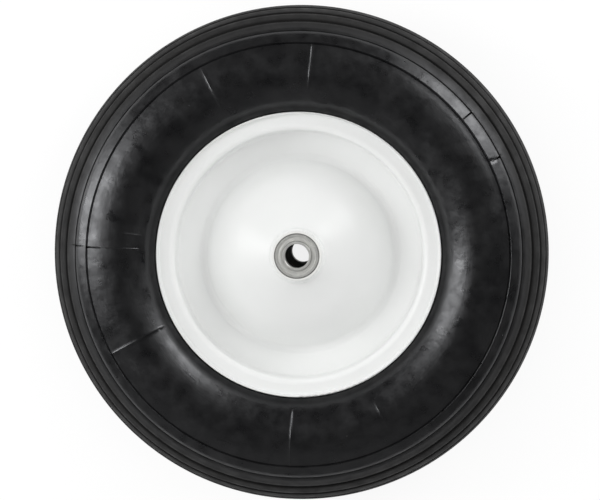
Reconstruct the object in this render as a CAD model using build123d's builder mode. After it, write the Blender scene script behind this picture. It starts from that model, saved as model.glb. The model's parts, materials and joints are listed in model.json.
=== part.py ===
from build123d import *
from math import atan2, cos, degrees, radians, sin, sqrt, tan
import os

os.makedirs("parts", exist_ok=True)

# A pneumatic wheel lies on its back sidewall: the axle runs along Z, the origin is the wheel's centre
# and the front face looks up. All sizes are in millimetres and degrees.

# Tyre
tyre_outer_radius = 203.2
tyre_half_width = 58.0
tread_thickness = 8.0
sidewall_thickness = 5.5
sidewall_rise = 30.2
sidewall_foot_drop = 3.95
cavity_foot_rise = 2.5
bead_width = 14.0
bead_height = 11.0
bead_face_slope = 1.5
bead_heel_chamfer = 4.5
bead_flange_gap = 0.3
tyre_lip_gap = 0.7
groove_pitch = 11.25
tread_grooves_each_side = 4
tread_groove_width = 2.4
tread_groove_depth = 2.0
shoulder_lines = 2
shoulder_line_width = 1.2
shoulder_line_depth = 0.8

# Pressed steel rim halves
sheet = 1.5
flange_radius = 114.3
flange_height = 12.7
flange_inner_z = 31.75
lip_height = 4.0
lip_bend = 2.5
flange_bend = 4.0
seat_inner_z = 12.0
seat_bend = 5.0
well_run = 19.1
valley_width = 5.5
valley_bend = 5.0
dome_run = 19.5
dome_knee_z = 25.0
dome_knee_bend = 70.0
hub_stand_out = 5.0
collar_height = 5.5
collar_bend = 4.0

# Inner tube
tube_wall = 2.0
tube_clearance = 0.3
tube_bottom_round = 4.0

# Hub tube
hub_tube_radius = 20.0
hub_tube_half_length = 56.0
hub_middle_bore_radius = 16.2
hub_end_round = 1.2
hub_mouth_chamfer = 0.4

# Ball bearings
axle_bore_radius = 9.525
bearing_radius = 17.4625
bearing_width = 12.7
bearing_recess = 0.3
outer_race_chamfer = 0.5
outer_race_land_radius = 14.9
inner_race_radius = 11.6
inner_race_nose = 1.45
inner_race_chamfer = 0.6
race_clearance = 0.05
ball_radius = 2.38125
ball_pitch_radius = 13.4
ball_count = 9
shield_thickness = 0.6
shield_recess = 0.5
shield_radius = 15.7
shield_gap = 0.25
cage_inner_radius = 12.7
cage_outer_radius = 14.1
cage_finger_reach = 1.2
cage_ring_reach = 3.4
pocket_clearance = 0.08

# Valve, in the back half
valve_seat_offset = 8.6
rim_hole_clearance = 0.15
stem_root_radius = 5.6
stem_root_z = -1.5
stem_root_length = 8.5
stem_taper_length = 5.0
stem_neck_radius = 4.6
stem_rubber_length = 24.5
insert_root_depth = 2.5
insert_radius = 3.2
thread_radius = 3.85
thread_length = 10.0
thread_chamfer = 0.5
air_bore_radius = 1.9
core_bore_radius = 2.6
core_bore_depth = 19.0

# Valve core and cap
core_fit = 0.05
barrel_recess = 0.8
barrel_length = 13.5
spring_pocket_radius = 1.6
spring_pocket_depth = 9.5
pin_bore_radius = 0.75
pin_radius = 0.55
pin_head_radius = 1.4
pin_head_length = 0.6
pin_head_recess = 0.3
plug_radius = 1.9
plug_length = 1.6
plug_gap = 0.05
spring_wire_radius = 0.2
spring_coil_radius = 1.12
spring_turns = 5
spring_end_gap = 0.05
cap_thread_gap = 0.1
cap_end_gap = 0.3
cap_wall = 0.9
cap_end_thickness = 1.2
cap_end_round = 1.0
cap_flute_count = 10
cap_flute_radius = 0.5
cap_flute_length = 8.0

# Places that follow from the sizes above
bead_seat_radius = flange_radius - flange_height
valley_outer_radius = bead_seat_radius - well_run
valley_inner_radius = valley_outer_radius - valley_width
dome_knee_radius = valley_inner_radius - dome_run
dome_foot_z = hub_tube_half_length - hub_stand_out - collar_height
sidewall_foot_radius = flange_radius + tyre_lip_gap
sidewall_foot_z = flange_inner_z - sidewall_foot_drop
widest_radius = sidewall_foot_radius + sidewall_rise
cavity_widest_radius = widest_radius - (tread_thickness - sidewall_thickness)
cavity_half_width = tyre_half_width - sidewall_thickness
cavity_crown_radius = tyre_outer_radius - tread_thickness
cavity_foot_radius = sidewall_foot_radius + sidewall_thickness
cavity_foot_z = sidewall_foot_z + cavity_foot_rise
bead_outer_z = flange_inner_z - bead_flange_gap
bead_toe_z = bead_outer_z - bead_width
bead_top_radius = bead_seat_radius + bead_height
bearing_face_z = hub_tube_half_length - bearing_recess
bearing_back_z = bearing_face_z - bearing_width
ball_plane_z = (bearing_face_z + bearing_back_z) / 2
shield_depth = shield_recess + shield_thickness
stem_rubber_end_z = stem_root_z - stem_rubber_length
stem_tip_z = stem_rubber_end_z - thread_length
valve_offset = bead_seat_radius - valve_seat_offset
valve_axis = Axis((valve_offset, 0, 0), (0, 0, 1))

# Where the well wall's tyre side leaves the bead seat and where it meets the other half
sheet_middle_seat_radius = bead_seat_radius - sheet / 2
well_angle = atan2(seat_inner_z - sheet / 2, sheet_middle_seat_radius - valley_outer_radius)
well_top_z = seat_inner_z + sheet / 2 * (tan(well_angle) - 1 / cos(well_angle))
well_apex_radius = valley_outer_radius + sheet / 2 * (1 / cos(well_angle) - 1) / tan(well_angle)


def crown_point(angle, depth):
    """A point of the round crown as (radius, z), at an angle from the tread's centre line."""
    radial_reach = tyre_outer_radius - widest_radius - depth
    axial_reach = tyre_half_width - depth
    return (widest_radius + radial_reach * cos(radians(angle)), axial_reach * sin(radians(angle)))


def groove_points(step):
    """The two edges and the bottom of one circumferential groove."""
    if abs(step) > tread_grooves_each_side:
        width, depth = shoulder_line_width, shoulder_line_depth
    else:
        width, depth = tread_groove_width, tread_groove_depth
    middle = step * groove_pitch
    half_angle = degrees(width / 2 / tyre_half_width)
    return [
        crown_point(middle - half_angle, 0),
        crown_point(middle, depth),
        crown_point(middle + half_angle, 0),
    ]


def quarter_arc(centre, end_radius, axial_reach, side):
    """A quarter round on one side, from a section's widest point to a point level with its centre."""
    share = sqrt(0.5)
    radial_reach = end_radius - centre[0]
    return ThreePointArc(
        (centre[0], side * (centre[1] + axial_reach)),
        (centre[0] + radial_reach * share, side * (centre[1] + axial_reach * share)),
        (end_radius, side * centre[1]),
    )


def cavity_arcs(side):
    """The tyre's inner wall on one side: half of the crown, and the sidewall down to its foot."""
    quarter_arc((cavity_widest_radius, 0), cavity_crown_radius, cavity_half_width, side)
    quarter_arc(
        (cavity_widest_radius, cavity_foot_z),
        cavity_foot_radius,
        cavity_half_width - cavity_foot_z,
        side,
    )


def ring_section(points, offset_x=0.0, side=1):
    """A straight-sided section in the plane of X and Z, from points given as (radius, z)."""
    with BuildSketch(Plane.XZ) as section:
        with BuildLine():
            Polyline(*[(offset_x + radius, side * z) for radius, z in points], close=True)
        make_face()
    return section.sketch


# Tyre: a ribbed crown on a round casing, open towards the rim between its two beads
last_step = tread_grooves_each_side + shoulder_lines
crown_outline = [point for step in range(-last_step, last_step + 1) for point in groove_points(step)]
crown_edge_angle = last_step * groove_pitch + degrees(shoulder_line_width / 2 / tyre_half_width)
shoulder_middle = crown_point((crown_edge_angle + 90) / 2, 0)

with BuildPart() as tyre:
    with BuildSketch(Plane.XZ):
        with BuildLine():
            Polyline(*crown_outline)
            for side in (1, -1):
                ThreePointArc(
                    (crown_outline[-1][0], side * crown_outline[-1][1]),
                    (shoulder_middle[0], side * shoulder_middle[1]),
                    (widest_radius, side * tyre_half_width),
                )
                quarter_arc(
                    (widest_radius, sidewall_foot_z),
                    sidewall_foot_radius,
                    tyre_half_width - sidewall_foot_z,
                    side,
                )
                Polyline(
                    (sidewall_foot_radius, side * sidewall_foot_z),
                    (bead_top_radius, side * bead_outer_z),
                    (bead_seat_radius + bead_heel_chamfer, side * bead_outer_z),
                    (bead_seat_radius, side * (bead_outer_z - bead_heel_chamfer)),
                    (bead_seat_radius, side * bead_toe_z),
                    (bead_top_radius, side * (bead_toe_z + bead_face_slope)),
                    (cavity_foot_radius, side * cavity_foot_z),
                )
                cavity_arcs(side)
        make_face()
    revolve(axis=Axis.Z)
tyre.part.label = "tyre"
export_step(tyre.part, "parts/tyre.step")

# Rim halves: one sheet each, from the rolled lip over the bead seat and the welded valley to the hub
for side_name, side in (("front", 1), ("back", -1)):
    with BuildPart() as rim_half:
        with BuildSketch(Plane.XZ):
            with BuildLine():
                FilletPolyline(
                    (flange_radius - sheet / 2, side * (flange_inner_z + sheet + lip_height)),
                    (flange_radius - sheet / 2, side * (flange_inner_z + sheet / 2)),
                    (sheet_middle_seat_radius, side * (flange_inner_z + sheet / 2)),
                    (sheet_middle_seat_radius, side * seat_inner_z),
                    (valley_outer_radius, side * sheet / 2),
                    (valley_inner_radius, side * sheet / 2),
                    (dome_knee_radius, side * dome_knee_z),
                    (hub_tube_radius + sheet / 2, side * dome_foot_z),
                    (hub_tube_radius + sheet / 2, side * (dome_foot_z + collar_height)),
                    radius=[
                        lip_bend,
                        flange_bend,
                        seat_bend,
                        valley_bend,
                        valley_bend,
                        dome_knee_bend,
                        collar_bend,
                    ],
                )
                offset(amount=sheet / 2, side=Side.BOTH, mode=Mode.REPLACE)
            make_face()
        revolve(axis=Axis.Z)
        if side_name == "back":
            with Locations((valve_offset, 0, 0)):
                Hole(stem_root_radius + rim_hole_clearance, depth=flange_inner_z)
    rim_half.part.label = f"rim_half_{side_name}"
    export_step(rim_half.part, f"parts/rim_half_{side_name}.step")

# Inner tube: fills the space between tyre and rim, with a hole where the valve stem is bonded in
with BuildPart() as inner_tube:
    with BuildSketch(Plane.XZ):
        with BuildLine():
            for side in (1, -1):
                cavity_arcs(side)
                Polyline(
                    (cavity_foot_radius, side * cavity_foot_z),
                    (bead_top_radius, side * (bead_toe_z + bead_face_slope)),
                    (bead_seat_radius, side * bead_toe_z),
                    (bead_seat_radius, side * well_top_z),
                    (well_apex_radius, 0),
                )
        make_face()
        offset(amount=-tube_clearance, mode=Mode.REPLACE)
        fillet(vertices().sort_by(Axis.X)[0], radius=tube_bottom_round)
        offset(amount=-tube_wall, mode=Mode.SUBTRACT)
    revolve(axis=Axis.Z)
    with BuildSketch(Plane.XY.offset(stem_root_z)):
        with Locations((valve_offset, 0)):
            Circle(stem_root_radius)
    extrude(amount=-stem_root_length, mode=Mode.SUBTRACT)
inner_tube.part.label = "inner_tube"
export_step(inner_tube.part, "parts/inner_tube.step")

# Hub tube: welded into both rim halves, with a bearing seat bored into each end
with BuildPart() as hub_tube:
    with BuildSketch(Plane.XZ):
        with BuildLine():
            Polyline(
                (hub_middle_bore_radius, -bearing_back_z),
                (bearing_radius, -bearing_back_z),
                (bearing_radius, -hub_tube_half_length),
                (hub_tube_radius, -hub_tube_half_length),
                (hub_tube_radius, hub_tube_half_length),
                (bearing_radius, hub_tube_half_length),
                (bearing_radius, bearing_back_z),
                (hub_middle_bore_radius, bearing_back_z),
                close=True,
            )
        make_face()
        fillet(vertices().group_by(Axis.X)[-1], radius=hub_end_round)
        for end in (0, -1):
            chamfer(vertices().group_by(Axis.Y)[end].sort_by(Axis.X)[0], length=hub_mouth_chamfer)
    revolve(axis=Axis.Z)
hub_tube.part.label = "hub_tube"
export_step(hub_tube.part, "parts/hub_tube.step")

# Ball bearings: the same six pieces pressed into each end of the hub tube
for side_name, side in (("front", 1), ("back", -1)):
    with BuildPart() as outer_race:
        outer_race_section = ring_section(
            [
                (bearing_radius, bearing_face_z - outer_race_chamfer),
                (bearing_radius, bearing_back_z + outer_race_chamfer),
                (bearing_radius - outer_race_chamfer, bearing_back_z),
                (shield_radius, bearing_back_z),
                (shield_radius, bearing_back_z + shield_depth),
                (outer_race_land_radius, bearing_back_z + shield_depth),
                (outer_race_land_radius, bearing_face_z - shield_depth),
                (shield_radius, bearing_face_z - shield_depth),
                (shield_radius, bearing_face_z),
                (bearing_radius - outer_race_chamfer, bearing_face_z),
            ],
            side=side,
        )
        revolve(outer_race_section, axis=Axis.Z)
        with BuildSketch(Plane.XZ):
            with Locations((ball_pitch_radius, side * ball_plane_z)):
                Circle(ball_radius + race_clearance)
        revolve(axis=Axis.Z, mode=Mode.SUBTRACT)
    outer_race.part.label = f"bearing_outer_race_{side_name}"
    export_step(outer_race.part, f"parts/bearing_outer_race_{side_name}.step")

    with BuildPart() as inner_race:
        inner_race_end_z = bearing_face_z + inner_race_nose
        inner_race_section = ring_section(
            [
                (axle_bore_radius, bearing_back_z + inner_race_chamfer),
                (axle_bore_radius + inner_race_chamfer, bearing_back_z),
                (inner_race_radius, bearing_back_z),
                (inner_race_radius, inner_race_end_z - inner_race_chamfer / 2),
                (inner_race_radius - inner_race_chamfer / 2, inner_race_end_z),
                (axle_bore_radius + inner_race_chamfer, inner_race_end_z),
                (axle_bore_radius, inner_race_end_z - inner_race_chamfer),
            ],
            side=side,
        )
        revolve(inner_race_section, axis=Axis.Z)
        with BuildSketch(Plane.XZ):
            with Locations((ball_pitch_radius, side * ball_plane_z)):
                Circle(ball_radius + race_clearance)
        revolve(axis=Axis.Z, mode=Mode.SUBTRACT)
    inner_race.part.label = f"bearing_inner_race_{side_name}"
    export_step(inner_race.part, f"parts/bearing_inner_race_{side_name}.step")

    with BuildPart() as balls:
        with Locations((0, 0, side * ball_plane_z)):
            with PolarLocations(ball_pitch_radius, ball_count):
                Sphere(ball_radius)
    balls.part.label = f"bearing_balls_{side_name}"
    export_step(balls.part, f"parts/bearing_balls_{side_name}.step")

    with BuildPart() as cage:
        cage_section = ring_section(
            [
                (cage_inner_radius, ball_plane_z - cage_finger_reach),
                (cage_outer_radius, ball_plane_z - cage_finger_reach),
                (cage_outer_radius, ball_plane_z + cage_ring_reach),
                (cage_inner_radius, ball_plane_z + cage_ring_reach),
            ],
            side=side,
        )
        revolve(cage_section, axis=Axis.Z)
        with Locations((0, 0, side * ball_plane_z)):
            with PolarLocations(ball_pitch_radius, ball_count):
                Sphere(ball_radius + pocket_clearance, mode=Mode.SUBTRACT)
    cage.part.label = f"bearing_cage_{side_name}"
    export_step(cage.part, f"parts/bearing_cage_{side_name}.step")

    for shield_name, shield_z in (
        ("outer", bearing_face_z - shield_depth),
        ("inner", bearing_back_z + shield_recess),
    ):
        with BuildPart() as shield:
            shield_section = ring_section(
                [
                    (inner_race_radius + shield_gap, shield_z),
                    (shield_radius, shield_z),
                    (shield_radius, shield_z + shield_thickness),
                    (inner_race_radius + shield_gap, shield_z + shield_thickness),
                ],
                side=side,
            )
            revolve(shield_section, axis=Axis.Z)
        shield.part.label = f"bearing_{shield_name}_shield_{side_name}"
        export_step(shield.part, f"parts/bearing_{shield_name}_shield_{side_name}.step")

# Valve stem: rubber bonded into the tube, out through the well wall of the back half
stem_taper_z = stem_root_z - stem_root_length
insert_root_z = stem_root_z - insert_root_depth

with BuildPart() as valve_stem:
    valve_stem_section = ring_section(
        [
            (air_bore_radius, stem_root_z),
            (stem_root_radius, stem_root_z),
            (stem_root_radius, stem_taper_z),
            (stem_neck_radius, stem_taper_z - stem_taper_length),
            (stem_neck_radius, stem_rubber_end_z),
            (insert_radius, stem_rubber_end_z),
            (insert_radius, insert_root_z),
            (air_bore_radius, insert_root_z),
        ],
        offset_x=valve_offset,
    )
    revolve(valve_stem_section, axis=valve_axis)
valve_stem.part.label = "valve_stem"
export_step(valve_stem.part, "parts/valve_stem.step")

# Brass insert: carries the outer thread for the cap and the bore for the valve core
core_bore_end_z = stem_tip_z + core_bore_depth

with BuildPart() as valve_insert:
    valve_insert_section = ring_section(
        [
            (air_bore_radius, insert_root_z),
            (insert_radius, insert_root_z),
            (insert_radius, stem_rubber_end_z),
            (thread_radius, stem_rubber_end_z),
            (thread_radius, stem_tip_z + thread_chamfer),
            (thread_radius - thread_chamfer, stem_tip_z),
            (core_bore_radius, stem_tip_z),
            (core_bore_radius, core_bore_end_z),
            (air_bore_radius, core_bore_end_z),
        ],
        offset_x=valve_offset,
    )
    revolve(valve_insert_section, axis=valve_axis)
valve_insert.part.label = "valve_insert"
export_step(valve_insert.part, "parts/valve_insert.step")

# Valve core barrel
barrel_outer_z = stem_tip_z + barrel_recess
barrel_inner_z = barrel_outer_z + barrel_length
spring_ledge_z = barrel_outer_z + spring_pocket_depth

with BuildPart() as valve_core_barrel:
    valve_core_barrel_section = ring_section(
        [
            (spring_pocket_radius, barrel_outer_z),
            (core_bore_radius - core_fit, barrel_outer_z),
            (core_bore_radius - core_fit, barrel_inner_z),
            (pin_bore_radius, barrel_inner_z),
            (pin_bore_radius, spring_ledge_z),
            (spring_pocket_radius, spring_ledge_z),
        ],
        offset_x=valve_offset,
    )
    revolve(valve_core_barrel_section, axis=valve_axis)
valve_core_barrel.part.label = "valve_core_barrel"
export_step(valve_core_barrel.part, "parts/valve_core_barrel.step")

# Valve pin: a head that the pump presses, and a plug that seals the barrel's inner end
pin_outer_z = stem_tip_z + pin_head_recess
pin_head_inner_z = pin_outer_z + pin_head_length
plug_outer_z = barrel_inner_z + plug_gap

with BuildPart() as valve_pin:
    valve_pin_section = ring_section(
        [
            (0, pin_outer_z),
            (pin_head_radius, pin_outer_z),
            (pin_head_radius, pin_head_inner_z),
            (pin_radius, pin_head_inner_z),
            (pin_radius, plug_outer_z),
            (plug_radius, plug_outer_z),
            (plug_radius, plug_outer_z + plug_length),
            (0, plug_outer_z + plug_length),
        ],
        offset_x=valve_offset,
    )
    revolve(valve_pin_section, axis=valve_axis)
valve_pin.part.label = "valve_pin"
export_step(valve_pin.part, "parts/valve_pin.step")

# Valve spring: holds the pin shut, between its head and the ledge in the barrel
spring_start_z = pin_head_inner_z + spring_end_gap + spring_wire_radius
spring_end_z = spring_ledge_z - spring_end_gap - spring_wire_radius
spring_height = spring_end_z - spring_start_z

with BuildPart() as valve_spring:
    with BuildLine():
        spring_path = Helix(
            pitch=spring_height / spring_turns,
            height=spring_height,
            radius=spring_coil_radius,
            center=(valve_offset, 0, spring_start_z),
        )
    with BuildSketch(Plane(spring_path @ 0, z_dir=spring_path % 0)):
        Circle(spring_wire_radius)
    sweep(path=spring_path, is_frenet=True)
valve_spring.part.label = "valve_spring"
export_step(valve_spring.part, "parts/valve_spring.step")

# Valve cap: screwed over the thread, with flutes to grip it by
cap_inner_radius = thread_radius + cap_thread_gap
cap_outer_radius = cap_inner_radius + cap_wall
cap_mouth_z = stem_rubber_end_z - cap_end_gap
cap_floor_z = stem_tip_z - cap_end_gap
cap_end_z = cap_floor_z - cap_end_thickness

with BuildPart() as valve_cap:
    valve_cap_section = ring_section(
        [
            (0, cap_end_z),
            (cap_outer_radius, cap_end_z),
            (cap_outer_radius, cap_mouth_z),
            (cap_inner_radius, cap_mouth_z),
            (cap_inner_radius, cap_floor_z),
            (0, cap_floor_z),
        ],
        offset_x=valve_offset,
    )
    revolve(valve_cap_section, axis=valve_axis)
    fillet(valve_cap.edges().group_by(Axis.Z)[0], radius=cap_end_round)
    with BuildSketch(Plane.XY.offset(cap_mouth_z)):
        with Locations((valve_offset, 0)):
            with PolarLocations(cap_outer_radius, cap_flute_count):
                Circle(cap_flute_radius)
    extrude(amount=-cap_flute_length, mode=Mode.SUBTRACT)
valve_cap.part.label = "valve_cap"
export_step(valve_cap.part, "parts/valve_cap.step")
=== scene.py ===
import json
from math import atan2, cos, degrees, hypot, pi, radians, sin, sqrt

import bmesh
import bpy
from mathutils import Matrix, Vector


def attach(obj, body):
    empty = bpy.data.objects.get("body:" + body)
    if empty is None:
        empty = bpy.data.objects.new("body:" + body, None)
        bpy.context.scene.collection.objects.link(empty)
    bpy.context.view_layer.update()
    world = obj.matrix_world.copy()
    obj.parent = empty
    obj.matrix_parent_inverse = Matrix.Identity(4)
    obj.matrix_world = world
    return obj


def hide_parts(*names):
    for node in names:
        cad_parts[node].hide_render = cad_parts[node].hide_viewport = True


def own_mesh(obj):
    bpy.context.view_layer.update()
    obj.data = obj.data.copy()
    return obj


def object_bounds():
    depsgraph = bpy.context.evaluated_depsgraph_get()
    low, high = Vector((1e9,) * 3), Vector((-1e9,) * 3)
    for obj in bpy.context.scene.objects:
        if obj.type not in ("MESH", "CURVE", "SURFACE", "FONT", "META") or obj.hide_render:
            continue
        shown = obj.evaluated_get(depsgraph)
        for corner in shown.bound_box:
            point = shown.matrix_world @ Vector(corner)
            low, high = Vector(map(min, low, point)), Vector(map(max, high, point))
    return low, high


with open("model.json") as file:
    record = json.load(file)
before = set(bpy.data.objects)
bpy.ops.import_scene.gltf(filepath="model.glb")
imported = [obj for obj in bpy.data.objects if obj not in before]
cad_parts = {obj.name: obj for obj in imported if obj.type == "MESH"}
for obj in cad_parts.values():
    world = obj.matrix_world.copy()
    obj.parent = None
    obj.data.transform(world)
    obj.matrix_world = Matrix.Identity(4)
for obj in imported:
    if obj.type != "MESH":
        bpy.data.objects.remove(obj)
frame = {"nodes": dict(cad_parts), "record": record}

cad_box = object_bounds()

# Lengths are in metres. Azimuths are in degrees, from +X towards +Y.

# Camera, fitted to the outlines of the tyre, the rim's edge and both mouths of the bore
CAMERA_PLACE = Vector((0.0596, 0.0504, 1.2024))
CAMERA_TARGET = Vector((-0.0002, 0.0026, 0.0))
SENSOR_WIDTH = 36.0
LENS = 87.64

# Tyre section: its crown and sidewalls, the beads, and the cavity that the tube fills
TYRE_HALF_WIDTH = 0.058
WIDEST_RADIUS = 0.1452
FOOT_RADIUS = 0.115
FOOT_Z = 0.0278
# The sidewall's arcs from the widest point to the foot, as radius, tilt at the arc's end, and steps
SLOPE_ARCS = ((0.0240, 18.0, 5), (0.050, 34.0, 6), (0.030, 60.0, 6), (0.00779, 90.0, 5))
SHOULDER_STEPS = 8
BEAD_OUTER_Z = 0.03145
BEAD_TOE_Z = 0.01745
BEAD_TOP_RADIUS = 0.1126
BEAD_SEAT_RADIUS = 0.1016
BEAD_HEEL_CHAMFER = 0.0045
BEAD_HEEL_CORNER = 0.0013
BEAD_TOE_CORNER = 0.0008
BEAD_FACE_SLOPE = 0.0015
CAVITY_CENTRE = 0.1427
CAVITY_REACH = 0.0525
CAVITY_FOOT_RADIUS = 0.1205
CAVITY_FOOT_Z = 0.0303
CAVITY_STEPS = 16
CAVITY_FOOT_STEPS = 5

# The crown's grooves lie at even angles, with the tread's in the middle, then the shoulder's, and
# one along each edge of the crown
GROOVE_PITCH = 11.25
LAST_STEP = 6
TREAD_STEPS = 4
# Width and depth of each kind of groove
TREAD_GROOVE = (0.0024, 0.0020)
SHOULDER_GROOVE = (0.0012, 0.0008)
EDGE_GROOVE = (0.0018, 0.0021)
# A groove's rounded section, as shares of its half width and of its depth
GROOVE_SHAPE = (
    (-1.25, 0.0), (-0.95, 0.12), (-0.45, 0.85),
    (0.0, 1.0),
    (0.45, 0.85), (0.95, 0.12), (1.25, 0.0),
)
# Where the points of a land lie between two grooves
LAND_SHARES = (1 / 3, 2 / 3)
# Keeps the crown inside the CAD tyre's straight lands
CROWN_INSET = 0.00006

# Thin ridges of rubber that the mould's joints left on the front sidewall, as azimuth, inner and
# outer radius, and height; the back has its own
FLASH_LINES = (
    (117.1, 0.1325, 0.1638, 0.00026),
    (207.9, 0.1220, 0.1675, 0.00034),
    (86.1, 0.1325, 0.1665, 0.00034),
    (-92.0, 0.1225, 0.1660, 0.00032),
    (-62.0, 0.1340, 0.1510, 0.00022),
    (177.6, 0.1266, 0.1560, 0.0002),
    (172.7, 0.1250, 0.1410, 0.00014),
)
BACK_FLASH_LINES = (
    (60.0, 0.1281, 0.1660, 0.00034),
    (150.0, 0.1244, 0.1640, 0.00028),
    (240.0, 0.1290, 0.1668, 0.00034),
    (-30.0, 0.1270, 0.1600, 0.00024),
)
# Narrow cuts across the shoulder, as azimuth, inner and outer radius, and depth
SHOULDER_CUTS = (
    (39.5, 0.1690, 0.1775, 0.0016),
    (26.1, 0.1710, 0.1775, 0.0016),
    (177.7, 0.1563, 0.1676, 0.0016),
    (177.5, 0.1730, 0.1795, 0.0010),
)
# Half the width of a ridge or a cut, and how far from its end it fades out
RIDGE_SHAPE = (0.0005, 0.002)
CUT_SHAPE = (0.0007, 0.0006)

# The tyre's even columns of vertices, and the finer ones round each ridge and cut, as offsets
TYRE_COLUMNS = 360
LINE_COLUMNS = (-0.26, -0.13, 0.0, 0.13, 0.26)
# An even column this near to a finer one is left out, and so is the second of two that coincide
COLUMN_CLEARANCE = 0.3
COLUMN_MERGE = 0.02

# How far the front sidewall's crest lies inside the CAD's, which leaves room for ridges and nibs
CREST_DROP = 0.0004
CREST_START = 0.045

# Vent nibs, as azimuth, radius and height; those on the crest are trimmed
NIBS = (
    (125.6, 0.1452, 0.00038),
    (-74.4, 0.1475, 0.00038),
    (61.0, 0.1745, 0.0009),
    (-21.0, 0.1738, 0.0009),
    (214.0, 0.1741, 0.0009),
)
NIB_SIDES = 12
# A nib's foot, as radius and depth in the rubber, and its rings, as radius and share of its height
NIB_FOOT = (0.0009, -0.0003)
NIB_RINGS = ((0.0006, 0.1), (0.00045, 0.65), (0.00035, 1.0))

# Section of a bearing's pressed outer shield, outside and inside, as radius and height
SHIELD_OUTSIDE = (
    (0.01185, 0.05500), (0.01195, 0.05514), (0.01215, 0.05520), (0.01390, 0.05520),
    (0.01405, 0.05516), (0.01420, 0.05504), (0.01435, 0.05500), (0.01465, 0.05500),
    (0.01480, 0.05504), (0.01495, 0.05513), (0.01510, 0.05516), (0.01555, 0.05516),
    (0.01567, 0.05512), (0.01570, 0.05502),
)
SHIELD_INSIDE = ((0.01570, 0.05460), (0.01185, 0.05460))
SHIELD_COLUMNS = 96

# Section of the weld bead between collar and hub tube, and its points that touch them and stay even
WELD_SECTION = (
    (0.0199, 0.0509), (0.0213, 0.0509), (0.0212, 0.0514),
    (0.0209, 0.0519), (0.0204, 0.0523), (0.0199, 0.0525),
)
WELD_EVEN_POINTS = (0, 1, 5)
WELD_COLUMNS = 360
# The bead's ripples, as height, number in a turn, and how they shift from one side to the other
WELD_RIPPLES = ((0.00007, 58, 0), (0.00005, 7, 1), (0.00004, 17, 0))

# The valve's brass insert, from its top over the shoulder down to its tip, and its two bores
VALVE_CENTRE = (0.093, 0.0)
INSERT_TOP, INSERT_SHOULDER, INSERT_TIP = -0.0040, -0.0260, -0.0360
INSERT_RADIUS = 0.0032
INSERT_WIDE_BORE, INSERT_NARROW_BORE = 0.0026, 0.0019
INSERT_LEDGE = -0.0170
INSERT_COLUMNS = 48
THREAD_PITCH = 0.000794
THREAD_ROOT = 0.00340
THREAD_CREST = 0.00385
# The thread's points follow the insert's first two
THREAD_FIRST = 2
THREAD_STEPS = 96
THREAD_STEEPNESS = 2.6
# How far the thread fades in below the shoulder and above the tip, and the tip's chamfer
THREAD_RUN_IN = 0.0006
THREAD_RUN_OUT = (-0.0003, 0.0007)
TIP_CHAMFER = 0.0005

# The valve's spring: where its wire starts and ends, and the ledge that it stands on
SPRING_START, SPRING_END, SPRING_LEDGE = -0.03485, -0.02595, -0.0257
SPRING_RADIUS = 0.00112
SPRING_WIRE = 0.0002
SPRING_TURNS = 5
SPRING_TURN_STEPS = 32
SPRING_SIDES = 10

# The darker and the lighter tone of each surface
TONES = {
    "sidewall": ((0.0022, 0.0022, 0.0026), (0.0080, 0.0078, 0.0082)),
    "tread": ((0.0040, 0.0036, 0.0031), (0.0090, 0.0080, 0.0068)),
    "tube_rubber": ((0.018, 0.018, 0.02), (0.03, 0.03, 0.032)),
    "valve_rubber": ((0.02, 0.02, 0.02), (0.034, 0.034, 0.034)),
    "white_paint": ((0.825, 0.835, 0.825), (0.865, 0.872, 0.865)),
    "hub_paint": ((0.76, 0.765, 0.745), (0.83, 0.835, 0.82)),
    # Thin paint on the hub tube's ends, made greyer as a painted shade of their rounded edges
    "thin_paint_and_shade": ((0.56, 0.56, 0.53), (0.68, 0.68, 0.65)),
    # Bare steel inside the bore, painted near-black as the shade deep in the tube
    "shaded_bare_bore": ((0.035, 0.033, 0.030), (0.075, 0.070, 0.064)),
    "ground_steel": ((0.66, 0.66, 0.635), (0.76, 0.76, 0.73)),
    "pressed_steel": ((0.67, 0.67, 0.645), (0.77, 0.77, 0.735)),
    "ball_steel": ((0.68, 0.68, 0.68), (0.74, 0.74, 0.74)),
    "spring_steel": ((0.54, 0.54, 0.54), (0.64, 0.64, 0.64)),
    "turned_brass": ((0.66, 0.48, 0.22), (0.76, 0.58, 0.30)),
    "cage_nylon": ((0.66, 0.61, 0.48), (0.74, 0.7, 0.58)),
    "cap_plastic": ((0.014, 0.014, 0.015), (0.024, 0.024, 0.026)),
}
# The radii between which the glossy sidewall turns into the dull tread, and into the dull foot
TREAD_START = (0.174, 0.186)
FOOT_START = (0.1180, 0.1220)
DULL_ROUGHNESS = 0.34
DULL_SPECULAR = 0.34
RUBBER_IOR = 1.56
RUBBER_TINT = (0.96, 0.97, 1.0)
# The heights between which the hub tube's paint thins towards its ends, where it is also greyed
# with painted shade, and the bore's edge
HUB_END_SHADE = (0.0557, 0.0565)
# Where the bore's painted shade on bare steel begins
BORE_SHADE_EDGE = (0.0176, 0.0182)
# How many rings in a metre turning, grinding or pressing leaves, and how fast they change in a turn
METAL_RINGS = 2600.0
METAL_DRIFT = 1.5
# How fast such rings change with height, as a share of how fast they change with radius
RING_HEIGHT_SHARE = 0.8
# The floor's paint, its own glow, and the share of that glow that the camera and gloss see; the
# rest of the floor's white is lit, and dark in the tyre's shadow
FLOOR_HALF_WIDTH = 4.0
FLOOR_WHITE = (0.8, 0.8, 0.8)
FLOOR_GLOW = 1.06
SEEN_GLOW = 0.8
GLOSSY_GLOW = 0.25
# The surroundings' even light, and what gloss sees of them between the horizon and overhead
AMBIENT = 0.815
HORIZON_FADE = (-0.01, 0.12)
HORIZON = 1.0
OVERHEAD = 0.03
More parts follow.
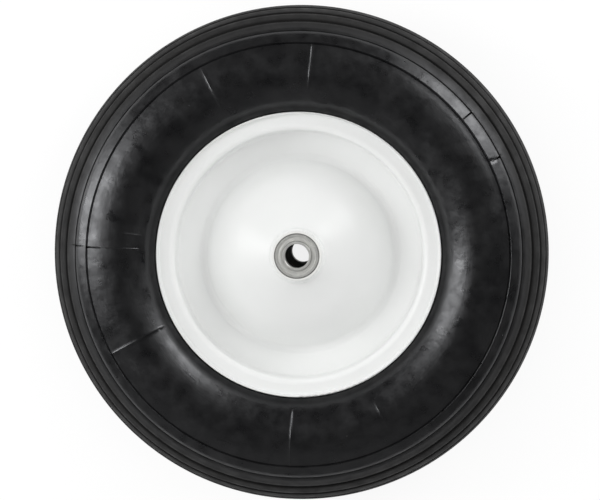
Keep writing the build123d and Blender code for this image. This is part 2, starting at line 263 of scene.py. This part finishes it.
# Lamps, as azimuth, angle from the zenith, width, height and radiance
LAMPS = {
    "left_lamp": (170.0, 55.0, 0.46, 0.76, 3.7),
    "right_lamp": (41.0, 65.0, 0.48, 0.82, 3.1),
    "left_glow": (160.0, 84.0, 0.60, 0.22, 1.3),
    "right_glow": (34.0, 84.0, 0.60, 0.22, 1.8),
    "low_lamp": (262.0, 52.0, 1.9, 0.8, 0.07),
}
LAMP_DISTANCE = 1.3
# Watts a square metre that give a lamp a radiance of 1
LAMP_WATTS = 4


def smooth(low, high, value):
    """0 below low, 1 above high, and an even ramp with soft ends between them."""
    share = min(max((value - low) / (high - low), 0.0), 1.0)
    return share * share * (3 - 2 * share)


# Meshes

def mesh_piece(name, vertices, faces, body, material, sharp, replaced=()):
    """A mesh object, smooth up to the angle sharp, that rides on a body and has a slot's finish."""
    mesh = bpy.data.meshes.new(name)
    mesh.from_pydata(vertices, [], faces)
    work = bmesh.new()
    work.from_mesh(mesh)
    bmesh.ops.recalc_face_normals(work, faces=work.faces)
    work.to_mesh(mesh)
    work.free()
    mesh.shade_smooth()
    mesh.set_sharp_from_angle(angle=radians(sharp))
    mesh.materials.append(material)
    piece = bpy.data.objects.new(name, mesh)
    bpy.context.scene.collection.objects.link(piece)
    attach(piece, body)
    if replaced:
        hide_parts(*replaced)
    return piece


def even_turn(count):
    return [2 * pi * index / count for index in range(count)]


def angle_between(first, second):
    """The angle between two azimuths in radians, the short way round."""
    return abs((first - second + pi) % (2 * pi) - pi)


def lathe(profile, azimuths, centre=(0.0, 0.0), shift=None):
    """Vertices and faces of a closed section turned about an axis parallel to Z."""
    vertices = []
    count = len(profile)
    for azimuth in azimuths:
        across, along = cos(azimuth), sin(azimuth)
        for index, (radius, z) in enumerate(profile):
            if shift:
                radius, z = shift(azimuth, index, radius, z)
            vertices.append((centre[0] + radius * across, centre[1] + radius * along, z))
    faces = []
    turns = len(azimuths)
    for turn in range(turns):
        here, there = turn * count, (turn + 1) % turns * count
        for index in range(count):
            after = (index + 1) % count
            faces.append((here + index, there + index, there + after, here + after))
    return vertices, faces


def add_ring(vertices, centre, across, along, radius, sides):
    """A ring of vertices round a centre, in the plane of two unit vectors."""
    for turn in even_turn(sides):
        vertices.append(tuple(centre + (across * cos(turn) + along * sin(turn)) * radius))


def join_rings(faces, start, rings, sides):
    """The faces between rings of vertices that follow each other from start."""
    for ring in range(rings - 1):
        low, high = start + ring * sides, start + (ring + 1) * sides
        for index in range(sides):
            after = (index + 1) % sides
            faces.append((low + index, low + after, high + after, high + index))


def arc_points(centre, reach, start, end, count, side=1):
    """Points on an ellipse's arc as (radius, z), from one angle to another, both included."""
    points = []
    for index in range(count + 1):
        angle = radians(start + (end - start) * index / count)
        radius, z = centre[0] + reach[0] * cos(angle), centre[1] + reach[1] * sin(angle)
        points.append((radius, side * z))
    return points


# Tyre

def crown_point(angle, depth=0.0):
    reach = TYRE_HALF_WIDTH - depth - CROWN_INSET * cos(radians(angle))
    return (WIDEST_RADIUS + reach * cos(radians(angle)), reach * sin(radians(angle)))


def groove_section(step):
    """One rounded groove across the crown, from edge to edge."""
    if abs(step) == LAST_STEP:
        width, depth = EDGE_GROOVE
    elif abs(step) > TREAD_STEPS:
        width, depth = SHOULDER_GROOVE
    else:
        width, depth = TREAD_GROOVE
    middle = step * GROOVE_PITCH
    half = degrees(width / 2 / TYRE_HALF_WIDTH)
    return [crown_point(middle + share * half, depth * down) for share, down in GROOVE_SHAPE]


def crown_section():
    """The crown's grooves and the lands between them, from the back edge to the front one."""
    points = []
    for step in range(-LAST_STEP, LAST_STEP + 1):
        points += groove_section(step)
        if step < LAST_STEP:
            points += [crown_point((step + share) * GROOVE_PITCH) for share in LAND_SHARES]
    return points


def slope_points(side):
    """Down the sidewall's inner slope, along the arcs from its widest point to its foot."""
    points = []
    radius, z, start = WIDEST_RADIUS, TYRE_HALF_WIDTH, 0.0
    for reach, end, count in SLOPE_ARCS:
        centre = (radius + reach * sin(radians(start)), z - reach * cos(radians(start)))
        for index in range(1, count + 1):
            angle = radians(start + (end - start) * index / count)
            radius, z = centre[0] - reach * sin(angle), centre[1] + reach * cos(angle)
            points.append((radius, side * z))
        start = end
    return points


def bead_points(side):
    """From the sidewall's foot round the bead to its inner face."""
    return [
        (FOOT_RADIUS, side * FOOT_Z),
        (BEAD_TOP_RADIUS, side * BEAD_OUTER_Z),
        (BEAD_SEAT_RADIUS + BEAD_HEEL_CHAMFER, side * BEAD_OUTER_Z),
        (BEAD_SEAT_RADIUS + BEAD_HEEL_CORNER, side * (BEAD_OUTER_Z - BEAD_HEEL_CORNER)),
        (BEAD_SEAT_RADIUS, side * (BEAD_OUTER_Z - BEAD_HEEL_CHAMFER)),
        (BEAD_SEAT_RADIUS, side * (BEAD_TOE_Z + BEAD_TOE_CORNER)),
        (BEAD_SEAT_RADIUS + BEAD_TOE_CORNER, side * BEAD_TOE_Z),
        (BEAD_TOP_RADIUS, side * (BEAD_TOE_Z + BEAD_FACE_SLOPE)),
    ]


def flank(side, crown_end):
    """From the crown's edge over the widest point to the bead's inner face."""
    reach = (TYRE_HALF_WIDTH, TYRE_HALF_WIDTH)
    shoulder = arc_points((WIDEST_RADIUS, 0), reach, crown_end, 90, SHOULDER_STEPS, side)[1:]
    return shoulder + slope_points(side) + bead_points(side)


def cavity_section():
    """The inner wall, from its front foot over the crown to its back foot."""
    foot_centre = (CAVITY_CENTRE, CAVITY_FOOT_Z)
    foot_reach = (CAVITY_CENTRE - CAVITY_FOOT_RADIUS, CAVITY_REACH - CAVITY_FOOT_Z)
    reach = (CAVITY_REACH, CAVITY_REACH)
    points = arc_points(foot_centre, foot_reach, 180, 90, CAVITY_FOOT_STEPS)
    points += arc_points((CAVITY_CENTRE, 0), reach, 90, -90, CAVITY_STEPS)[1:-1]
    return points + arc_points(foot_centre, foot_reach, 90, 180, CAVITY_FOOT_STEPS, -1)


def tyre_section():
    """The tyre's closed outline: the crown, the front flank, the inner wall and the back flank."""
    crown = crown_section()
    crown_end = degrees(atan2(crown[-1][1], crown[-1][0] - WIDEST_RADIUS))
    return crown + flank(1, crown_end) + cavity_section() + flank(-1, crown_end)[::-1]


def outward(profile):
    """The unit normal of each point of a closed section that runs with its body on the left."""
    normals = []
    count = len(profile)
    for index in range(count):
        before, after = profile[index - 1], profile[(index + 1) % count]
        dr, dz = after[0] - before[0], after[1] - before[1]
        length = hypot(dr, dz)
        normals.append((dz / length, -dr / length))
    return normals


def tyre_azimuths():
    """Even columns round the tyre, with finer ones at its ridges and cuts."""
    lines = FLASH_LINES + SHOULDER_CUTS + BACK_FLASH_LINES
    fine = [radians(line[0] + offset) % (2 * pi) for line in lines for offset in LINE_COLUMNS]
    kept = []
    for azimuth in even_turn(TYRE_COLUMNS):
        if min(angle_between(azimuth, other) for other in fine) > radians(COLUMN_CLEARANCE):
            kept.append(azimuth)
    merged = []
    for azimuth in sorted(kept + fine):
        if not merged or azimuth - merged[-1] > radians(COLUMN_MERGE):
            merged.append(azimuth)
    return merged


def crest_drop(z):
    return CREST_DROP * smooth(CREST_START, TYRE_HALF_WIDTH, z)


def line_height(azimuth, radius, line, half_width, fade):
    """How far a ridge stands, or a cut sinks, at one point, with its height fading at both ends."""
    line_azimuth, start, end, height = line
    away = angle_between(azimuth, radians(line_azimuth)) * radius
    if away > half_width:
        return 0.0
    along = smooth(start - fade, start + fade, radius)
    along *= 1 - smooth(end - fade, end + fade, radius)
    return height * along * (1 - (away / half_width) ** 2)


def tyre_relief(profile):
    """The shift that lowers the front crest and adds the ridges and cuts of both sidewalls."""
    normals = outward(profile)

    def shift(azimuth, index, radius, z):
        normal = normals[index]
        outside = abs(z) > FOOT_Z and radius > FOOT_RADIUS and normal[1] * z > 0
        if not outside:
            return radius, z
        ridges = FLASH_LINES if z > 0 else BACK_FLASH_LINES
        height = sum(line_height(azimuth, radius, line, *RIDGE_SHAPE) for line in ridges)
        if z > 0:
            height -= sum(line_height(azimuth, radius, cut, *CUT_SHAPE) for cut in SHOULDER_CUTS)
        lift = z - crest_drop(z) + height * normal[1]
        return radius + height * normal[0], max(lift, -TYRE_HALF_WIDTH)

    return shift


def add_nib(vertices, faces, azimuth, radius, height):
    """A short blunt nib of rubber, standing on the sidewall's surface."""
    angle = radians(azimuth)
    reach = TYRE_HALF_WIDTH
    over = radius - WIDEST_RADIUS
    rise = sqrt(reach ** 2 - over ** 2) if over > 0 else reach
    normal = Vector((over / reach * cos(angle), over / reach * sin(angle), 1)).normalized()
    base = Vector((radius * cos(angle), radius * sin(angle), rise - crest_drop(rise)))
    side = normal.orthogonal().normalized()
    other = normal.cross(side)
    rings = (NIB_FOOT, *((width, share * height) for width, share in NIB_RINGS))
    start = len(vertices)
    for width, lift in rings:
        add_ring(vertices, base + normal * lift, side, other, width, NIB_SIDES)
    join_rings(faces, start, len(rings), NIB_SIDES)
    top = start + (len(rings) - 1) * NIB_SIDES
    faces.append(tuple(top + index for index in range(NIB_SIDES)))
    faces.append(tuple(start + index for index in reversed(range(NIB_SIDES))))


def make_tyre(material):
    profile = tyre_section()
    vertices, faces = lathe(profile, tyre_azimuths(), shift=tyre_relief(profile))
    for nib in NIBS:
        add_nib(vertices, faces, *nib)
    mesh_piece(
        "moulded_tyre", vertices, faces, "wheel", material,
        sharp=38.0, replaced=("tyre",),
    )


# Small metal pieces

def make_shield(side_name, side, material):
    """The pressed outer shield of one bearing, with a shallow ring in it and rolled edges."""
    profile = [(radius, side * z) for radius, z in SHIELD_OUTSIDE + SHIELD_INSIDE]
    vertices, faces = lathe(profile, even_turn(SHIELD_COLUMNS))
    mesh_piece(
        f"pressed_shield_{side_name}", vertices, faces, "wheel", material,
        sharp=50.0, replaced=(f"bearing_outer_shield_{side_name}",),
    )


def make_hub_weld(side_name, side, material):
    """The painted weld bead in the corner between the dome's collar and the hub tube."""
    def ripple(azimuth, index, radius, z):
        if index in WELD_EVEN_POINTS:
            return radius, z
        swell = sum(
            height * sin(count * azimuth + turned * side) for height, count, turned in WELD_RIPPLES
        )
        return radius + swell, z + side * swell

    profile = [(radius, side * z) for radius, z in WELD_SECTION]
    vertices, faces = lathe(profile, even_turn(WELD_COLUMNS), shift=ripple)
    mesh_piece(
        f"hub_weld_{side_name}", vertices, faces, "wheel", material,
        sharp=60.0,
    )


def cut_thread(azimuth, index, radius, z):
    """The shift that cuts the insert's thread between its shoulder and its tip."""
    if not THREAD_FIRST <= index <= THREAD_FIRST + THREAD_STEPS:
        return radius, z
    turn = (z / THREAD_PITCH + azimuth / (2 * pi)) % 1.0
    steep = min(abs(turn - 0.5) * THREAD_STEEPNESS, 1.0)
    ends = smooth(0.0, THREAD_RUN_IN, INSERT_SHOULDER - z) * smooth(*THREAD_RUN_OUT, z - INSERT_TIP)
    crest = THREAD_CREST - TIP_CHAMFER * (1 - smooth(0.0, TIP_CHAMFER, z - INSERT_TIP))
    return crest - (THREAD_CREST - THREAD_ROOT) * (1 - steep) * ends, z


def make_valve_insert(material):
    """The valve's brass insert with its outside thread."""
    thread_length = INSERT_TIP - INSERT_SHOULDER
    outside = [(INSERT_RADIUS, INSERT_TOP), (INSERT_RADIUS, INSERT_SHOULDER)]
    outside += [
        (THREAD_CREST, INSERT_SHOULDER + thread_length * index / THREAD_STEPS)
        for index in range(THREAD_STEPS + 1)
    ]
    inside = [
        (INSERT_WIDE_BORE, INSERT_TIP),
        (INSERT_WIDE_BORE, INSERT_LEDGE),
        (INSERT_NARROW_BORE, INSERT_LEDGE),
        (INSERT_NARROW_BORE, INSERT_TOP),
    ]
    vertices, faces = lathe(outside + inside, even_turn(INSERT_COLUMNS), VALVE_CENTRE, cut_thread)
    mesh_piece(
        "threaded_insert", vertices, faces, "wheel", material,
        sharp=50.0, replaced=("valve_insert",),
    )


def make_spring(material):
    """The valve's spring, which the pin shortens towards its ledge."""
    steps = SPRING_TURN_STEPS * SPRING_TURNS
    slope = (SPRING_END - SPRING_START) / (2 * pi * SPRING_TURNS)
    vertices = []
    for step in range(steps + 1):
        angle = 2 * pi * SPRING_TURNS * step / steps
        across = Vector((cos(angle), sin(angle), 0.0))
        along = Vector((-SPRING_RADIUS * sin(angle), SPRING_RADIUS * cos(angle), slope))
        along.normalize()
        centre = Vector((*VALVE_CENTRE, SPRING_START + slope * angle)) + SPRING_RADIUS * across
        add_ring(vertices, centre, across, along.cross(across), SPRING_WIRE, SPRING_SIDES)
    last = steps * SPRING_SIDES
    faces = [tuple(range(SPRING_SIDES)), tuple(last + index for index in range(SPRING_SIDES))]
    join_rings(faces, 0, steps + 1, SPRING_SIDES)
    spring = mesh_piece(
        "wound_spring", vertices, faces, "wheel", material,
        sharp=50.0, replaced=("valve_spring",),
    )
    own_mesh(spring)


# Materials

class Nodes:
    """Short calls for building the node tree of a material or a world."""

    def __init__(self, owner):
        self.owner = owner
        owner.use_nodes = True
        self.tree = owner.node_tree
        self.shader = self.tree.nodes.get("Principled BSDF")

    def add(self, kind, **values):
        node = self.tree.nodes.new(kind)
        for key, value in values.items():
            setattr(node, key, value)
        return node

    def feed(self, socket, value):
        """Links a socket to another node's output, or sets it to a number, vector or colour."""
        if isinstance(value, (int, float)):
            socket.default_value = value
        elif isinstance(value, tuple):
            opaque = (1.0,) * (len(socket.default_value) - len(value))
            socket.default_value = value + opaque
        else:
            self.tree.links.new(value, socket)

    def place(self):
        return self.add("ShaderNodeTexCoord").outputs["Object"]

    def maths(self, operation, first, second=None):
        node = self.add("ShaderNodeMath", operation=operation)
        self.feed(node.inputs[0], first)
        if second is not None:
            self.feed(node.inputs[1], second)
        return node.outputs[0]

    def vector(self, operation, first, second=None, scale=None):
        node = self.add("ShaderNodeVectorMath", operation=operation)
        self.feed(node.inputs[0], first)
        if second is not None:
            self.feed(node.inputs[1], second)
        if scale is not None:
            self.feed(node.inputs["Scale"], scale)
        return node.outputs["Value"] if operation == "LENGTH" else node.outputs["Vector"]

    def noise(self, place, scale, detail=3.0, roughness=0.5):
        node = self.add("ShaderNodeTexNoise")
        self.feed(node.inputs["Vector"], place)
        self.feed(node.inputs["Scale"], scale)
        self.feed(node.inputs["Detail"], detail)
        self.feed(node.inputs["Roughness"], roughness)
        return node.outputs["Fac"]

    def ramp(self, value, low, high, out_low=0.0, out_high=1.0, interpolation="LINEAR"):
        node = self.add("ShaderNodeMapRange", interpolation_type=interpolation)
        self.feed(node.inputs["Value"], value)
        self.feed(node.inputs["From Min"], low)
        self.feed(node.inputs["From Max"], high)
        self.feed(node.inputs["To Min"], out_low)
        self.feed(node.inputs["To Max"], out_high)
        return node.outputs["Result"]

    def mix(self, share, first, second):
        """The first colour where share is 0, and the second where it is 1."""
        node = self.add("ShaderNodeMix", data_type="RGBA")
        self.feed(node.inputs[0], share)
        self.feed(node.inputs[6], first)
        self.feed(node.inputs[7], second)
        return node.outputs[2]

    def pick(self, share, first, second):
        """The first number where share is 0, and the second where it is 1."""
        node = self.add("ShaderNodeMix", data_type="FLOAT")
        self.feed(node.inputs[0], share)
        self.feed(node.inputs[2], first)
        self.feed(node.inputs[3], second)
        return node.outputs[0]

    def tone(self, surface, pattern, low=0.3, high=0.7):
        """A surface's colour, between its two tones by a noise pattern."""
        return self.mix(self.ramp(pattern, low, high), *TONES[surface])

    def bump(self, height, strength, distance, under=None):
        node = self.add("ShaderNodeBump")
        self.feed(node.inputs["Height"], height)
        self.feed(node.inputs["Strength"], strength)
        self.feed(node.inputs["Distance"], distance)
        if under is not None:
            self.feed(node.inputs["Normal"], under)
        return node.outputs["Normal"]

    def height(self):
        split = self.add("ShaderNodeSeparateXYZ")
        self.feed(split.inputs[0], self.place())
        return split.outputs[2]

    def level(self, centre=(0.0, 0.0)):
        """The place from an axis parallel to Z, without its height."""
        moved = self.vector("SUBTRACT", self.place(), (*centre, 0.0))
        return self.vector("MULTIPLY", moved, (1.0, 1.0, 0.0))

    def radius(self):
        """Distance from the wheel's axis."""
        return self.vector("LENGTH", self.level())

    def turned(self, rings, drift, centre=(0.0, 0.0)):
        """A place for noise that changes fast with radius and height and slowly round the axis."""
        level = self.level(centre)
        around = self.vector("SCALE", self.vector("NORMALIZE", level), scale=drift)
        radial = self.maths("MULTIPLY", self.vector("LENGTH", level), rings)
        upward = self.maths("MULTIPLY", self.height(), rings * RING_HEIGHT_SHARE)
        along = self.maths("ADD", radial, upward)
        lift = self.add("ShaderNodeCombineXYZ")
        self.feed(lift.inputs[2], along)
        return self.vector("ADD", around, lift.outputs[0])

    def ray_share(self, *names):
        """1 for the named kinds of ray, and 0 for the rest."""
        path = self.add("ShaderNodeLightPath")
        total = path.outputs[names[0]]
        for name in names[1:]:
            total = self.maths("MAXIMUM", total, path.outputs[name])
        return total

    def finish(self, colour, roughness, normal, metal=0.0, specular=0.5):
        inputs = self.shader.inputs
        self.feed(inputs["Base Color"], colour)
        self.feed(inputs["Roughness"], roughness)
        self.feed(inputs["Normal"], normal)
        self.feed(inputs["Metallic"], metal)
        self.feed(inputs["Specular IOR Level"], specular)
        return self.owner


def material_nodes(name):
    return Nodes(bpy.data.materials.new(name))


def tyre_rubber():
    """Glossy, mottled black on the sidewall, and dull black on the tread and at the foot."""
    nodes = material_nodes("tyre_rubber")
    radius = nodes.radius()
    tread = nodes.ramp(radius, *TREAD_START)
    foot = nodes.ramp(radius, *FOOT_START, 1.0, 0.0)
    dull = nodes.maths("MAXIMUM", tread, foot)
    cloudy = nodes.noise(nodes.place(), scale=48.0, roughness=0.55)
    streaks = nodes.noise(nodes.turned(rings=900.0, drift=2.5), scale=1.0, roughness=0.6)
    side_colour = nodes.tone("sidewall", cloudy, 0.35, 0.65)
    colour = nodes.mix(tread, side_colour, nodes.tone("tread", streaks))
    patchy = nodes.noise(nodes.place(), scale=85.0, roughness=0.55)
    side_rough = nodes.ramp(patchy, 0.3, 0.7, 0.24, 0.44)
    roughness = nodes.maths("ADD", side_rough, nodes.maths("MULTIPLY", dull, DULL_ROUGHNESS))
    specular = nodes.ramp(dull, 0.0, 1.0, 1.0, DULL_SPECULAR)
    grain = nodes.noise(nodes.place(), scale=700.0, detail=1.0)
    uneven = nodes.noise(nodes.place(), scale=105.0, detail=2.0)
    normal = nodes.bump(uneven, strength=0.30, distance=0.0010)
    normal = nodes.bump(streaks, strength=0.20, distance=0.00025, under=normal)
    normal = nodes.bump(grain, strength=0.06, distance=0.0002, under=normal)
    nodes.feed(nodes.shader.inputs["Specular Tint"], RUBBER_TINT)
    nodes.feed(nodes.shader.inputs["IOR"], RUBBER_IOR)
    return nodes.finish(colour, roughness, normal, specular=specular)


def plain_rubber(name, rough):
    nodes = material_nodes(name)
    cloudy = nodes.noise(nodes.place(), scale=60.0, detail=4.0, roughness=0.6)
    colour = nodes.tone(name, cloudy, 0.35, 0.65)
    roughness = nodes.ramp(cloudy, 0.3, 0.7, rough - 0.08, rough + 0.1)
    grain = nodes.noise(nodes.place(), scale=1200.0, detail=2.0)
    return nodes.finish(colour, roughness, nodes.bump(grain, strength=0.2, distance=0.0002))


def rim_paint():
    """White paint with a fine peel over slightly uneven sheet."""
    nodes = material_nodes("white_paint")
    cloudy = nodes.noise(nodes.place(), scale=14.0)
    peel = nodes.noise(nodes.place(), scale=420.0, detail=2.0, roughness=0.45)
    dents = nodes.noise(nodes.place(), scale=22.0, detail=2.0, roughness=0.4)
    roughness = nodes.ramp(peel, 0.3, 0.7, 0.30, 0.42)
    normal = nodes.bump(dents, strength=0.10, distance=0.0012)
    normal = nodes.bump(peel, strength=0.12, distance=0.00025, under=normal)
    return nodes.finish(nodes.tone("white_paint", cloudy), roughness, normal)


def hub_paint():
    """White paint on the hub tube, thin on its ends and greyed there with painted shade, and bare
    steel inside its bore, painted near-black as shade.
    """
    nodes = material_nodes("hub_paint")
    cloudy = nodes.noise(nodes.place(), scale=40.0)
    # The tube's ends: thin paint, greyed further with painted shade
    end = nodes.ramp(nodes.maths("ABSOLUTE", nodes.height()), *HUB_END_SHADE)
    paint = nodes.mix(end, nodes.tone("hub_paint", cloudy), nodes.tone("thin_paint_and_shade", cloudy))
    # Bare steel in the bore, darkened to near-black as painted shade
    bare = nodes.tone("shaded_bare_bore", cloudy)
    colour = nodes.mix(nodes.ramp(nodes.radius(), *BORE_SHADE_EDGE), bare, paint)
    peel = nodes.noise(nodes.place(), scale=500.0, detail=2.0, roughness=0.45)
    roughness = nodes.ramp(peel, 0.3, 0.7, 0.34, 0.48)
    return nodes.finish(colour, roughness, nodes.bump(peel, strength=0.15, distance=0.00025))


def turned_metal(name, rough, centre=(0.0, 0.0), strength=0.2, metal=1.0):
    """Metal with fine rings round its axis, as turning, grinding or pressing leaves them."""
    nodes = material_nodes(name)
    turned = nodes.turned(METAL_RINGS, METAL_DRIFT, centre)
    rings = nodes.noise(turned, scale=1.0, detail=2.0, roughness=0.6)
    cloudy = nodes.noise(nodes.place(), scale=220.0, roughness=0.6)
    colour = nodes.tone(name, cloudy)
    roughness = nodes.ramp(cloudy, 0.3, 0.7, rough - 0.07, rough + 0.09)
    return nodes.finish(colour, roughness, nodes.bump(rings, strength, 0.0001), metal=metal)


def moulded_plastic(name, rough):
    nodes = material_nodes(name)
    cloudy = nodes.noise(nodes.place(), scale=180.0)
    colour = nodes.tone(name, cloudy, 0.35, 0.65)
    roughness = nodes.ramp(cloudy, 0.3, 0.7, rough - 0.06, rough + 0.08)
    grain = nodes.noise(nodes.place(), scale=2500.0, detail=2.0)
    return nodes.finish(colour, roughness, nodes.bump(grain, strength=0.15, distance=0.0001))


def make_materials():
    """One material for each material slot of the frame."""
    return {
        "tyre": tyre_rubber(),
        "inner_tube": plain_rubber("tube_rubber", 0.5),
        "rim_paint": rim_paint(),
        "hub_paint": hub_paint(),
        "bearing_steel": turned_metal("ground_steel", 0.42, metal=0.6),
        "shield_steel": turned_metal("pressed_steel", 0.5, metal=0.5),
        "ball_steel": turned_metal("ball_steel", 0.14, strength=0.03),
        "cage_nylon": moulded_plastic("cage_nylon", 0.45),
        "valve_rubber": plain_rubber("valve_rubber", 0.45),
        "valve_brass": turned_metal("turned_brass", 0.3, VALVE_CENTRE),
        "valve_steel": turned_metal("spring_steel", 0.3, VALVE_CENTRE),
        "cap_plastic": moulded_plastic("cap_plastic", 0.35),
    }


# Stage: pale floor, white surroundings and five soft lamps

def floor_material():
    """Matt white paint that glows to the camera and, less, to gloss."""
    nodes = material_nodes("floor")
    nodes.tree.nodes.clear()
    matt = nodes.add("ShaderNodeBsdfDiffuse")
    nodes.feed(matt.inputs["Color"], FLOOR_WHITE)
    glow = nodes.add("ShaderNodeEmission")
    nodes.feed(glow.inputs["Strength"], FLOOR_GLOW)
    seen = nodes.ray_share("Is Camera Ray", "Is Transmission Ray")
    seen = nodes.maths("MULTIPLY", seen, SEEN_GLOW)
    glossy = nodes.maths("MULTIPLY", nodes.ray_share("Is Glossy Ray"), GLOSSY_GLOW)
    blend = nodes.add("ShaderNodeMixShader")
    nodes.feed(blend.inputs[0], nodes.maths("ADD", seen, glossy))
    nodes.feed(blend.inputs[1], matt.outputs[0])
    nodes.feed(blend.inputs[2], glow.outputs[0])
    output = nodes.add("ShaderNodeOutputMaterial")
    nodes.feed(output.inputs["Surface"], blend.outputs[0])
    return nodes.owner


def make_floor():
    half = FLOOR_HALF_WIDTH
    mesh = bpy.data.meshes.new("floor")
    corners = [(-half, -half), (half, -half), (half, half), (-half, half)]
    mesh.from_pydata([(x, y, cad_box[0].z) for x, y in corners], [], [(0, 1, 2, 3)])
    floor = bpy.data.objects.new("floor", mesh)
    bpy.context.scene.collection.objects.link(floor)
    mesh.materials.append(floor_material())


def make_world():
    """White to the camera, white to dark overhead for gloss, and even light for the rest."""
    world = bpy.data.worlds.new("surroundings")
    bpy.context.scene.world = world
    nodes = Nodes(world)
    nodes.tree.nodes.clear()
    split = nodes.add("ShaderNodeSeparateXYZ")
    nodes.feed(split.inputs[0], nodes.add("ShaderNodeTexCoord").outputs["Generated"])
    sky = nodes.ramp(split.outputs[2], *HORIZON_FADE, HORIZON, OVERHEAD, "SMOOTHSTEP")
    strength = nodes.pick(nodes.ray_share("Is Glossy Ray", "Is Transmission Ray"), AMBIENT, sky)
    strength = nodes.pick(nodes.ray_share("Is Camera Ray"), strength, 1.0)
    background = nodes.add("ShaderNodeBackground")
    nodes.feed(background.inputs["Color"], (1.0, 1.0, 1.0))
    nodes.feed(background.inputs["Strength"], strength)
    output = nodes.add("ShaderNodeOutputWorld")
    nodes.feed(output.inputs["Surface"], background.outputs[0])


def look_from(place, target, level):
    """The rotation of a camera or lamp at place that looks at target, with level along its X."""
    ahead = (target - place).normalized()
    right = (level - ahead * level.dot(ahead)).normalized()
    up = right.cross(ahead)
    return Matrix((right, up, -ahead)).transposed().to_4x4()


def make_lamp(name, azimuth, zenith, width, height, radiance):
    """A soft rectangular lamp that faces the wheel's centre; its width lies level."""
    angle, tilt = radians(azimuth), radians(zenith)
    away = Vector((sin(tilt) * cos(angle), sin(tilt) * sin(angle), cos(tilt)))
    place = LAMP_DISTANCE * away
    lamp = bpy.data.lights.new(name, "AREA")
    lamp.shape = "RECTANGLE"
    lamp.size = width
    lamp.size_y = height
    lamp.energy = LAMP_WATTS * radiance * width * height
    holder = bpy.data.objects.new(name, lamp)
    bpy.context.scene.collection.objects.link(holder)
    level = Vector((-sin(angle), cos(angle), 0.0))
    holder.matrix_world = Matrix.Translation(place) @ look_from(place, Vector(), level)
    holder.visible_camera = False


def make_camera():
    data = bpy.data.cameras.new("camera")
    data.sensor_width = SENSOR_WIDTH
    data.lens = LENS
    camera = bpy.data.objects.new("camera", data)
    bpy.context.scene.collection.objects.link(camera)
    level = (CAMERA_TARGET - CAMERA_PLACE).cross(Vector((0.0, 1.0, 0.0)))
    turn = look_from(CAMERA_PLACE, CAMERA_TARGET, level)
    camera.matrix_world = Matrix.Translation(CAMERA_PLACE) @ turn
    bpy.context.scene.camera = camera


# The wheel, dressed

materials = make_materials()
for subpart in frame["record"]["subparts"]:
    node = frame["nodes"][subpart["node"]]
    node.data.materials.clear()
    node.data.materials.append(materials[subpart["material_slot"]])

make_tyre(materials["tyre"])
for side_name, side in (("front", 1), ("back", -1)):
    make_shield(side_name, side, materials["shield_steel"])
    make_hub_weld(side_name, side, materials["rim_paint"])
make_valve_insert(materials["valve_brass"])
make_spring(materials["valve_steel"])

# Its stage

make_floor()
make_world()
for name, values in LAMPS.items():
    make_lamp(name, *values)
make_camera()
bpy.context.scene.view_settings.view_transform = "Standard"
